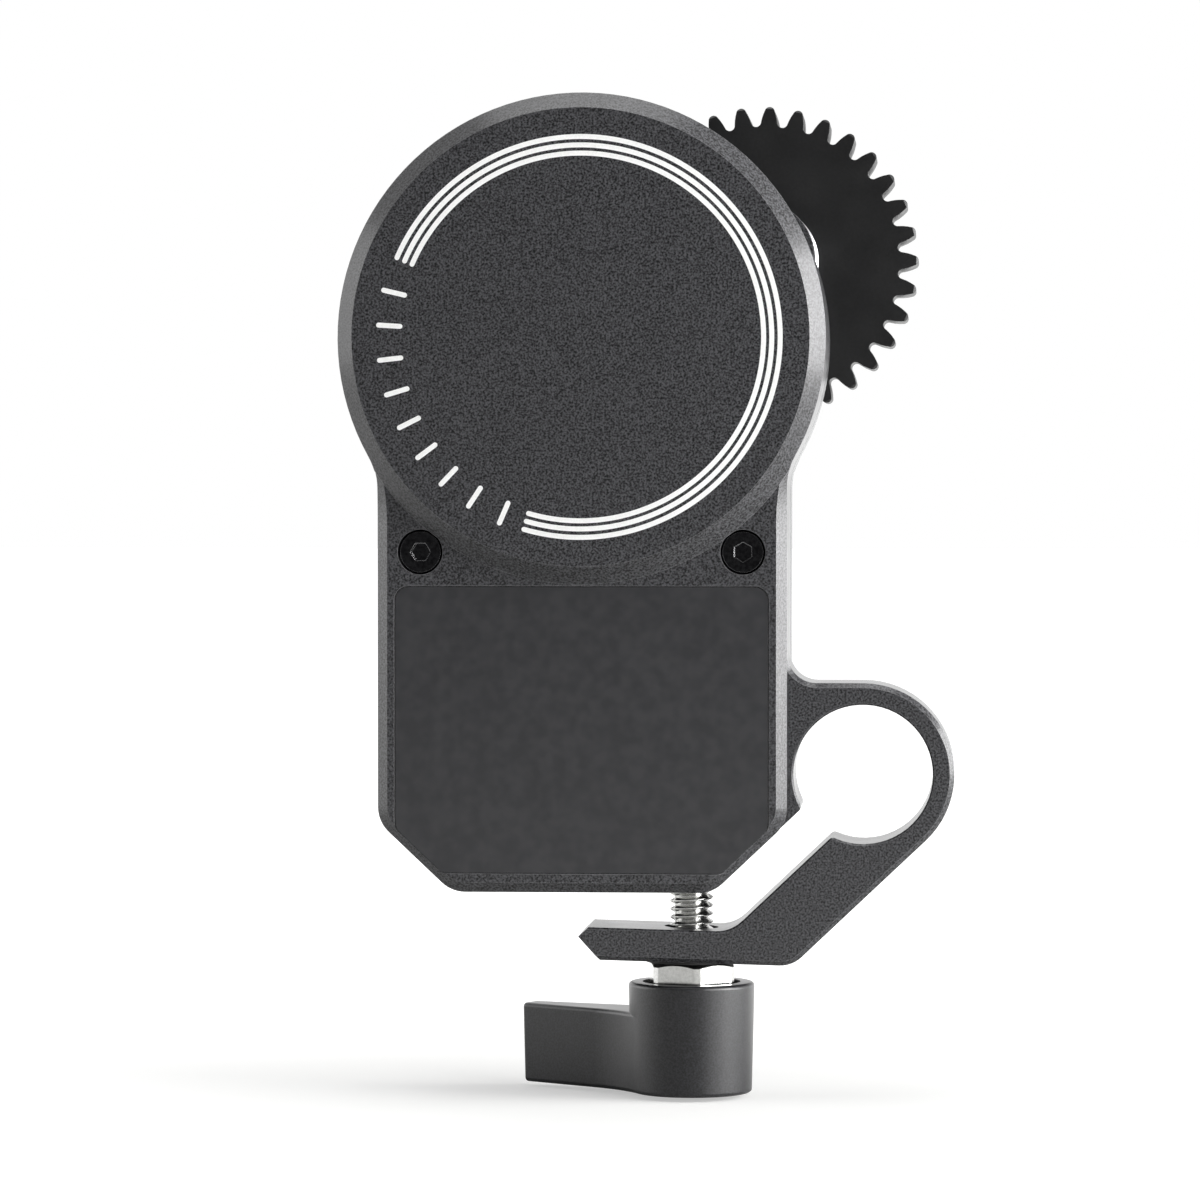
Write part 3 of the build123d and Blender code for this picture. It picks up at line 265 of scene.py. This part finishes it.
def lamination(tree):
    """Silicon steel sheets, stamped and stacked: dull grey metal with a line at each sheet."""
    place = add(tree, "ShaderNodeTexCoord").outputs["Object"]
    # sheets are 0.2 mm thick
    feed = {"Vector": place, "Scale": per_mm(BANDS_PER_SCALE * 0.2)}
    sheets = add(tree, "ShaderNodeTexWave", feed, bands_direction="Y").outputs["Fac"]
    return skin(tree, sheets, ("#55565a", "#84868a"), (0.4, 0.5), 0.01) | {"Metallic": 1.0}


def enamelled_copper(tree):
    """Copper wire in clear enamel, wound by machine: glossy orange-brown turns side by side."""
    place = add(tree, "ShaderNodeTexCoord").outputs["Object"]
    # turns of 0.3 mm wire
    feed = {"Vector": place, "Scale": per_mm(BANDS_PER_SCALE * 0.3)}
    turns = add(tree, "ShaderNodeTexWave", feed, wave_type="RINGS").outputs["Fac"]
    wire = skin(tree, turns, ("#6e2f14", "#c0662f"), (0.22, 0.3), 0.05)
    return wire | {"Metallic": 0.9, "Coat Weight": 0.6}


def nickel(tree):
    """Sintered magnet, nickel plated: pale, slightly warm, faintly pitted metal."""
    return skin(tree, 0.15, ("#a9a7a0", "#bdbbb4"), (0.2, 0.32), 0.003) | {"Metallic": 1.0}


def solder_mask(tree):
    """Glass fibre board under green solder mask: glossy, with the weave of the cloth showing faintly."""
    place = add(tree, "ShaderNodeTexCoord").outputs["Object"]
    # the cloth's threads are 0.5 mm apart
    feed = {"Vector": place, "Scale": per_mm(BANDS_PER_SCALE * 0.5)}
    weave = add(tree, "ShaderNodeTexWave", feed, bands_direction="DIAGONAL").outputs["Fac"]
    return skin(tree, weave, ("#0d3a22", "#124a2c"), (0.22, 0.34), 0.003)


def polymer(tree):
    """Nylon, punched from sheet: dull black with a slight mottle."""
    return skin(tree, 0.4, ("#161617", "#1d1d1e"), (0.45, 0.6), 0.005)


def white_ink(tree):
    """Epoxy ink, screen printed and baked: flat white with a slightly soft, grainy cover."""
    return skin(tree, 0.12, ("#f4f4f3", "#fdfdfc"), (0.45, 0.6), 0.002, 0.01)


steel_finish = surface("bright_plated_steel", bright_steel)
ink_finish = surface("white_screen_printed_ink", white_ink)
finishes = {
    "black_anodised": surface("black_anodised_blasted_aluminium", blasted_cover),
    "black_gloss_film": surface("black_gloss_polyester_film", film),
    "black_steel": surface("black_oxide_steel", black_oxide),
    "bright_steel": steel_finish,
    "black_acetal": surface("black_hobbed_acetal", acetal),
    "grey_aluminium": surface("turned_bright_aluminium", turned_aluminium),
    "brass": surface("hobbed_brass", brass),
    "copper": surface("enamelled_copper_wire", enamelled_copper),
    "lamination": surface("stamped_silicon_steel", lamination),
    "magnet": surface("nickel_plated_magnet", nickel),
    "circuit_green": surface("green_solder_mask", solder_mask),
    "black_polymer": surface("punched_black_nylon", polymer),
}
own_finishes = {"lever": surface("black_anodised_satin_aluminium", satin_lever)}

for subpart in frame["record"]["subparts"]:
    node = subpart["node"]
    coat = own_finishes.get(node, finishes[subpart["material_slot"]])
    materials = frame["nodes"][node].data.materials
    materials.clear()
    materials.append(coat)


# ---------------------------------------------------------------- pieces
def piece(name, mesh, coat, body):
    """A new piece of the object in one finish, riding on a body."""
    data = bpy.data.meshes.new(name)
    mesh.to_mesh(data)
    mesh.free()
    data.materials.append(coat)
    made = bpy.data.objects.new(name, data)
    bpy.context.scene.collection.objects.link(made)
    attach(made, body)
    return made


# clamp bolt, in millimetres: M4 coarse thread, hexagon head with a crown on both ends, stem for the lever
THREAD_PITCH = 0.7
THREAD_CREST_R = 1.92
THREAD_ROOT_R = 1.49
THREAD_ROOT_SAG = 0.04        # rounding of the root
THREAD_PROFILE = (            # share of a pitch, radius: flat crest, straight flanks, rounded root
    (0.0, THREAD_CREST_R),
    (0.125, THREAD_CREST_R),
    (0.48, THREAD_ROOT_R),
    (0.5625, THREAD_ROOT_R - THREAD_ROOT_SAG),
    (0.645, THREAD_ROOT_R),
)
THREAD_COLUMNS = 96
HEAD_FLATS = 7.1
HEAD_CORNERS_R = 3.93         # the corners are turned down to this
HEAD_H = 4.95
HEAD_CROWN_R = 3.3            # flat round top of the head
HEAD_TURN = 10.0              # degrees, a corner's place beyond -Y, as the lever's socket has it
HEAD_CROWN = 30.0             # degrees
STEM_R = 2.0
HEAD_COLUMNS = 360
BOLT_SHARP = 25.0             # degrees; gentler edges are shaded smooth


def skin_rings(mesh, rings):
    """Close the gap between each two rings of points, and cap the first and the last."""
    for below, above in zip(rings, rings[1:]):
        for place in range(len(below)):
            nxt = (place + 1) % len(below)
            mesh.faces.new((below[place], below[nxt], above[nxt], above[place]))
    mesh.faces.new(list(reversed(rings[0])))
    mesh.faces.new(rings[-1])


def head_outline(angle):
    """Radius of the hexagon in this direction, its corners turned down round."""
    from_flat = abs((angle - radians(HEAD_TURN - 90)) % (pi / 3) - pi / 6)
    return min(HEAD_FLATS / 2 / cos(from_flat), HEAD_CORNERS_R)


def head_ring(mesh, height, radius=None, crown=0):
    """Ring of the head: round with this radius, or the hexagon, dropped by its crown towards +1 or -1."""
    ring = []
    for column in range(HEAD_COLUMNS):
        angle = 2 * pi * column / HEAD_COLUMNS
        reach = radius or head_outline(angle)
        drop = crown * max(0.0, reach - HEAD_CROWN_R) * tan(radians(HEAD_CROWN))
        ring.append(mesh.verts.new((reach * cos(angle), reach * sin(angle), height - drop)))
    return ring


def threaded_rod(mesh, low, high):
    """Right-hand thread round the Z axis: its edges follow the helix, and its ends are cut square."""
    # two turns below the low end, so that the cut there goes through every column
    turns = int((high - low) / THREAD_PITCH) + 4
    rows = [(turn - 2 + share, radius) for turn in range(turns) for share, radius in THREAD_PROFILE]
    columns = []
    for column in range(THREAD_COLUMNS):
        share = column / THREAD_COLUMNS
        angle = 2 * pi * share
        heights = [low + THREAD_PITCH * (turn + share) for turn, radius in rows]
        columns.append(
            [
                mesh.verts.new((radius * cos(angle), radius * sin(angle), height))
                for height, (turn, radius) in zip(heights, rows)
            ]
        )
    one_turn = len(THREAD_PROFILE)
    for column, here in enumerate(columns):
        last = column == THREAD_COLUMNS - 1
        there = columns[0][one_turn:] if last else columns[column + 1]
        for row in range(min(len(here), len(there)) - 1):
            mesh.faces.new((here[row], there[row], there[row + 1], here[row + 1]))
    for height, outward in ((low, -1), (high, 1)):
        everything = list(mesh.verts) + list(mesh.edges) + list(mesh.faces)
        cut = bmesh.ops.bisect_plane(
            mesh, geom=everything, plane_co=(0, 0, height), plane_no=(0, 0, outward), clear_outer=True
        )["geom_cut"]
        bmesh.ops.holes_fill(mesh, edges=[part for part in cut if isinstance(part, bmesh.types.BMEdge)])


head_top = washer_z / MM
head_low = head_top - HEAD_H
bolt_mesh = bmesh.new()
threaded_rod(bolt_mesh, head_top - THREAD_PITCH, bolt_high.z / MM)
skin_rings(
    bolt_mesh,
    [
        head_ring(bolt_mesh, bolt_low.z / MM, STEM_R),
        head_ring(bolt_mesh, head_low, STEM_R),
        head_ring(bolt_mesh, head_low, HEAD_CROWN_R),
        head_ring(bolt_mesh, head_low, crown=-1),
        head_ring(bolt_mesh, head_top, crown=1),
        head_ring(bolt_mesh, head_top, HEAD_CROWN_R),
    ],
)
bmesh.ops.transform(
    bolt_mesh, matrix=Matrix.Translation((bolt_x, 0, 0)) @ Matrix.Scale(MM, 4), verts=bolt_mesh.verts
)
bolt = piece("clamp_bolt_threaded", bolt_mesh, steel_finish, "bolt")
bolt.data.shade_smooth()
bolt.data.set_sharp_from_angle(angle=radians(BOLT_SHARP))
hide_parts("clamp_bolt")

# lever spring, in millimetres: round wire, open coils between end turns that lie close
SPRING_WIRE_R = 0.2
SPRING_COILS = 3.0
SPRING_END_COILS = 0.75
SPRING_STEPS = 36             # rings of points in a turn
SPRING_SIDES = 12
SPRING_PLAY = 0.02            # top turn to the lever
SPRING_SHARP = 50.0           # degrees; gentler edges are shaded smooth

wire_middle_r = (spring_high.x - spring_low.x) / 2 / MM - SPRING_WIRE_R
spring_rise = (spring_high.z - spring_low.z) / MM - 2 * SPRING_WIRE_R - SPRING_PLAY
end_pitch = 2 * SPRING_WIRE_R
open_pitch = (spring_rise - 2 * SPRING_END_COILS * end_pitch) / SPRING_COILS
spring_mesh = bmesh.new()
wire_rings = []
for step in range(int((SPRING_COILS + 2 * SPRING_END_COILS) * SPRING_STEPS) + 1):
    turns = step / SPRING_STEPS
    open_turns = min(max(turns - SPRING_END_COILS, 0.0), SPRING_COILS)
    height = spring_low.z / MM + SPRING_WIRE_R + open_turns * open_pitch + (turns - open_turns) * end_pitch
    angle = 2 * pi * turns
    outward = Vector((cos(angle), sin(angle), 0.0))
    lean = end_pitch if open_turns in (0.0, SPRING_COILS) else open_pitch
    along = Vector((-sin(angle), cos(angle), lean / (2 * pi * wire_middle_r))).normalized()
    upward = outward.cross(along)
    centre = outward * wire_middle_r + Vector((bolt_x / MM, 0.0, height))
    turned = [2 * pi * side / SPRING_SIDES for side in range(SPRING_SIDES)]
    wire_rings.append(
        [spring_mesh.verts.new(centre + (outward * cos(a) + upward * sin(a)) * SPRING_WIRE_R) for a in turned]
    )
skin_rings(spring_mesh, wire_rings)
bmesh.ops.recalc_face_normals(spring_mesh, faces=spring_mesh.faces)
bmesh.ops.scale(spring_mesh, vec=(MM, MM, MM), verts=spring_mesh.verts)
spring = piece("lever_coil_spring", spring_mesh, steel_finish, "bolt")
spring.data.shade_smooth()
spring.data.set_sharp_from_angle(angle=radians(SPRING_SHARP))
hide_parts("lever_spring")
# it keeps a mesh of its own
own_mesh(spring)

# printed rings on the drum, in millimetres and in degrees from +X
RING_RADII = (15.76, 16.46, 17.18)
RING_W = 0.43
RING_START = 156.5            # runs clockwise from here, over the top
RING_END = -106.3
INK_T = 0.02
TICK_L = 1.85                 # plain marks across the open part of the rings
TICK_STEP = 10.0
SWEEP_STEP = 2.0              # degrees between the points of a ring
CAP_STEP = 15                 # degrees between the points of a stroke's round end


def stroke(mesh, points, width):
    """Flat inked line with round ends along these points of the disc's face, in millimetres."""
    half = width / 2
    y = disc_y / MM
    left, right = [], []
    for place, point in enumerate(points):
        before = points[max(0, place - 1)]
        after = points[min(len(points) - 1, place + 1)]
        along = (after - before).normalized()
        side = Vector((-along.y, along.x)) * half
        left.append(point + side)
        right.append(point - side)
    caps = []
    for end in (points[-1] - points[-2], points[0] - points[1]):
        facing = end.normalized()
        across = Vector((-facing.y, facing.x))
        turns = [radians(degrees) for degrees in range(CAP_STEP - 90, 90, CAP_STEP)]
        caps.append([(facing * cos(turn) + across * sin(turn)) * half for turn in turns])
    rim = right + [points[-1] + step for step in caps[0]] + list(reversed(left))
    rim += [points[0] + step for step in caps[1]]
    lower = [mesh.verts.new((p.x, y, p.y)) for p in rim]
    upper = [mesh.verts.new((p.x, y - INK_T, p.y)) for p in rim]
    mesh.faces.new(upper)
    mesh.faces.new(list(reversed(lower)))
    for place in range(len(rim)):
        nxt = (place + 1) % len(rim)
        mesh.faces.new((lower[place], lower[nxt], upper[nxt], upper[place]))


def on_disc(radius, angle):
    """Point of the disc's face, in millimetres."""
    return Vector((drum_x / MM + radius * cos(radians(angle)), drum_z / MM + radius * sin(radians(angle))))


marks = bmesh.new()
sweep = RING_START - RING_END
steps = int(sweep / SWEEP_STEP)
for radius in RING_RADII:
    stroke(marks, [on_disc(radius, RING_START - sweep * step / steps) for step in range(steps + 1)], RING_W)
inner, outer = RING_RADII[1] - TICK_L / 2, RING_RADII[1] + TICK_L / 2
tick = RING_START + TICK_STEP
while tick < RING_END + 360 - TICK_STEP / 2:
    stroke(marks, [on_disc(inner, tick), on_disc(outer, tick)], RING_W)
    tick += TICK_STEP
bmesh.ops.recalc_face_normals(marks, faces=marks.faces)
bmesh.ops.scale(marks, vec=(MM, MM, MM), verts=marks.verts)
piece("printed_rings", marks, ink_finish, "unit")


# ---------------------------------------------------------------- studio
FLOOR_DROP = 0.4 * MM         # lever's lowest edge to the floor
FLOOR_HALF = 4.0
CAMERA_AT = Vector((6.551, -463.083, 25.028)) * MM
CAMERA_AHEAD = Vector((-0.064, 1.0, -0.0217)).normalized()
FOCAL_PX = 5300.0             # focal length on a frame of 1200 pixels
FRAME_PX = 1200.0
DIM_ROOM = 0.12               # brightness that shiny faces find on the room's camera side
ROOM_DIM_AT = -0.97           # towards or away from the backdrop, where the room is dim and where it is white
ROOM_WHITE_AT = 0.3
WORLD_FILL = 0.1
FLOOR_PAINTED_SHADE = (0.02, 0.16)    # metres from the bolt over which the floor's painted shade, emission dimmed near the object, runs out into white
FLOOR_EMISSION_IN_PAINTED_SHADE = 0.45             # how white the camera finds the floor under the object, inside the painted shade; mirrors find no emission there
BOARD_COLOURS = ("#c6c6c4", "#cececc")
BOARD_MOTTLE_MM = 40.0
LAMPS_AIM = Vector((-0.02, 0.0, 0.02))
SOFTBOXES = (                 # name, place in metres, width in metres, power in watts
    ("key_softbox", (0.4, -0.26, 0.1), 0.45, 3.8),
    ("right_softbox", (0.5, -0.04, 0.06), 0.42, 4.4),
    ("left_softbox", (-0.95, 0.12, 0.1), 0.8, 3.2),
    ("top_softbox", (-0.05, -0.02, 1.0), 0.7, 3.0),
)


def studio_white(tree, way):
    """How white the studio shows in a direction from the object.

    It is white all round for the camera. Mirrors and glass find it white too, but dim on the camera's side,
    where the room is dark. It sheds no light of its own.
    """
    path = add(tree, "ShaderNodeLightPath").outputs
    unit = add(tree, "ShaderNodeVectorMath", {0: way}, operation="NORMALIZE").outputs["Vector"]
    facing = {0: unit, 1: (0.0, 1.0, 0.0)}
    back = add(tree, "ShaderNodeVectorMath", facing, operation="DOT_PRODUCT").outputs["Value"]
    dim = {
        "Value": back,
        "From Min": ROOM_DIM_AT,
        "From Max": ROOM_WHITE_AT,
        "To Min": DIM_ROOM,
        "To Max": 1.0,
    }
    room = add(tree, "ShaderNodeMapRange", dim, interpolation_type="SMOOTHSTEP").outputs["Result"]
    shiny = {0: path["Is Glossy Ray"], 1: path["Is Transmission Ray"]}
    mirrored = add(tree, "ShaderNodeMath", shiny, operation="MAXIMUM").outputs[0]
    found = add(tree, "ShaderNodeMath", {0: mirrored, 1: room}, operation="MULTIPLY").outputs[0]
    return add(tree, "ShaderNodeMath", {0: path["Is Camera Ray"], 1: found}, operation="MAXIMUM").outputs[0]


floor_mesh = bmesh.new()
bmesh.ops.create_grid(floor_mesh, x_segments=8, y_segments=8, size=FLOOR_HALF)
floor_data = bpy.data.meshes.new("studio_floor")
floor_mesh.to_mesh(floor_data)
floor_mesh.free()
floor_object = bpy.data.objects.new("studio_floor", floor_data)
floor_object.location.z = cad_box[0][2] - FLOOR_DROP
bpy.context.scene.collection.objects.link(floor_object)

# white painted board, matt, that runs out into the white backdrop away from the object; near the object its
# emission is dimmed, a painted shade on the floor under and around it
board, tree, output = blank("white_painted_board")
place = add(tree, "ShaderNodeTexCoord").outputs["Object"]
mottle = add(tree, "ShaderNodeTexNoise", {"Vector": place, "Scale": per_mm(BOARD_MOTTLE_MM)}).outputs["Fac"]
ramp = add(tree, "ShaderNodeValToRGB", {"Fac": mottle})
for stop, colour in zip(ramp.color_ramp.elements, BOARD_COLOURS):
    stop.color = linear(colour)
from_object = {0: place, 1: (bolt_x, 0.0, 0.0)}
away = add(tree, "ShaderNodeVectorMath", from_object, operation="DISTANCE").outputs["Value"]
camera_ray = add(tree, "ShaderNodeLightPath").outputs["Is Camera Ray"]
# emission dimmed towards the bolt: painted shade on the floor under the object, for the camera and more for
# mirrors
camera_emission_in_shade = add(tree, "ShaderNodeMath", {0: camera_ray, 1: FLOOR_EMISSION_IN_PAINTED_SHADE}, operation="MULTIPLY").outputs[0]
painted_shade_range = {"Value": away, "From Min": FLOOR_PAINTED_SHADE[0], "From Max": FLOOR_PAINTED_SHADE[1], "To Min": camera_emission_in_shade, "To Max": 1.0}
painted_floor_shade = add(tree, "ShaderNodeMapRange", painted_shade_range).outputs["Result"]
white = {0: studio_white(tree, place), 1: painted_floor_shade}
emission_with_painted_shade = add(tree, "ShaderNodeMath", white, operation="MULTIPLY").outputs[0]
paint = {
    "Base Color": ramp.outputs["Color"],
    "Roughness": 0.85,
    "Emission Color": linear("#ffffff"),
    "Emission Strength": emission_with_painted_shade,
}
tree.links.new(add(tree, "ShaderNodeBsdfPrincipled", paint).outputs["BSDF"], output.inputs["Surface"])
floor_data.materials.append(board)

world = bpy.data.worlds.new("studio")
bpy.context.scene.world = world
world.use_nodes = True
tree = world.node_tree
tree.nodes.clear()
way = add(tree, "ShaderNodeTexCoord").outputs["Generated"]
path = add(tree, "ShaderNodeLightPath").outputs
seen = add(tree, "ShaderNodeBackground", {"Color": linear("#ffffff"), "Strength": studio_white(tree, way)})
fill = add(tree, "ShaderNodeBackground", {"Color": linear("#f4f4f6"), "Strength": WORLD_FILL})
both = {0: path["Is Diffuse Ray"], 1: seen.outputs[0], 2: fill.outputs[0]}
sky = add(tree, "ShaderNodeMixShader", both).outputs[0]
add(tree, "ShaderNodeOutputWorld", {"Surface": sky})


for name, at, size, power in SOFTBOXES:
    lamp = bpy.data.lights.new(name, "AREA")
    lamp.shape = "SQUARE"
    lamp.size = size
    lamp.energy = power
    softbox = bpy.data.objects.new(name, lamp)
    softbox.location = at
    softbox.rotation_euler = (LAMPS_AIM - Vector(at)).to_track_quat("-Z", "Y").to_euler()
    bpy.context.scene.collection.objects.link(softbox)

camera_data = bpy.data.cameras.new("camera")
camera_data.sensor_width = 36.0
camera_data.lens = FOCAL_PX / FRAME_PX * camera_data.sensor_width
camera_data.clip_start = 0.01
camera_data.clip_end = 20.0
camera = bpy.data.objects.new("camera", camera_data)
camera.location = CAMERA_AT
right = CAMERA_AHEAD.cross(Vector((0, 0, 1))).normalized()
above = right.cross(CAMERA_AHEAD)
camera.rotation_euler = Matrix((right, above, -CAMERA_AHEAD)).transposed().to_euler()
bpy.context.scene.collection.objects.link(camera)
bpy.context.scene.camera = camera
bpy.context.scene.view_settings.view_transform = "Standard"
